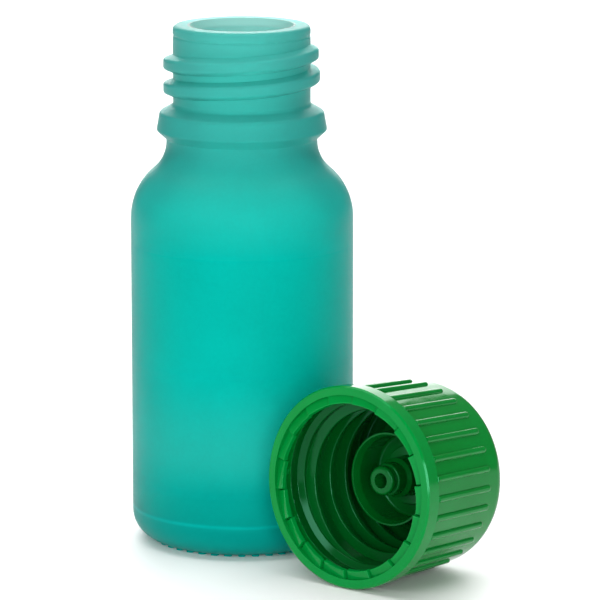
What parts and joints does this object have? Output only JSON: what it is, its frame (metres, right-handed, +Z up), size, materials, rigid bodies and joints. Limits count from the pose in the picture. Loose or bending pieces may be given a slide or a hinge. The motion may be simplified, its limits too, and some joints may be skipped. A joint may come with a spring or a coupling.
{
  "type": "dropper bottle",
  "caption": "Small frosted glass bottle with a threaded neck; its ribbed screw cap with tamper ring and dropper insert lies open beside it.",
  "frame": {"origin": "centre of the bottle's bearing ring, on the surface that the bottle stands on", "axes": "+Z up along the bottle's axis; the closure lies on the same surface at the +X, -Y side with its open end towards -X and -Y"},
  "size_m": [0.0409, 0.0427, 0.0585],
  "materials": {
    "frosted_glass": "teal coated glass, satin frosted outside",
    "green_insert": "moulded polyethylene, satin gloss",
    "green_ring": "moulded polypropylene, glossy",
    "green_cap": "moulded polypropylene, glossy"
  },
  "bodies": {
    "bottle": {"glass_bottle": "frosted_glass"},
    "dropper": {"dropper_insert": "green_insert"},
    "ring": {"tamper_ring": "green_ring", "tear_bridges": "green_ring"},
    "cap": {"screw_cap": "green_cap"}
  },
  "joints": [
    {"name": "closure_lift", "type": "slide", "parent": "bottle", "child": "dropper", "axis": [0, 0, 1], "range_m": [0, 0.07]},
    {"name": "cap_turn", "type": "hinge", "parent": "dropper", "child": "ring", "pos_m": [0.01983, -0.01317, 0.01041], "axis": [0.6282, 0.7758, -0.0595], "range_deg": [0, 720]},
    {"name": "cap_rise", "type": "slide", "parent": "ring", "child": "cap", "axis": [0.6282, 0.7758, -0.0595], "range_m": [0, 0.00541]}
  ],
  "couplings": [
    {"joint": "cap_rise", "follows": "cap_turn", "m_per_rad": 0.00042972}
  ]
}
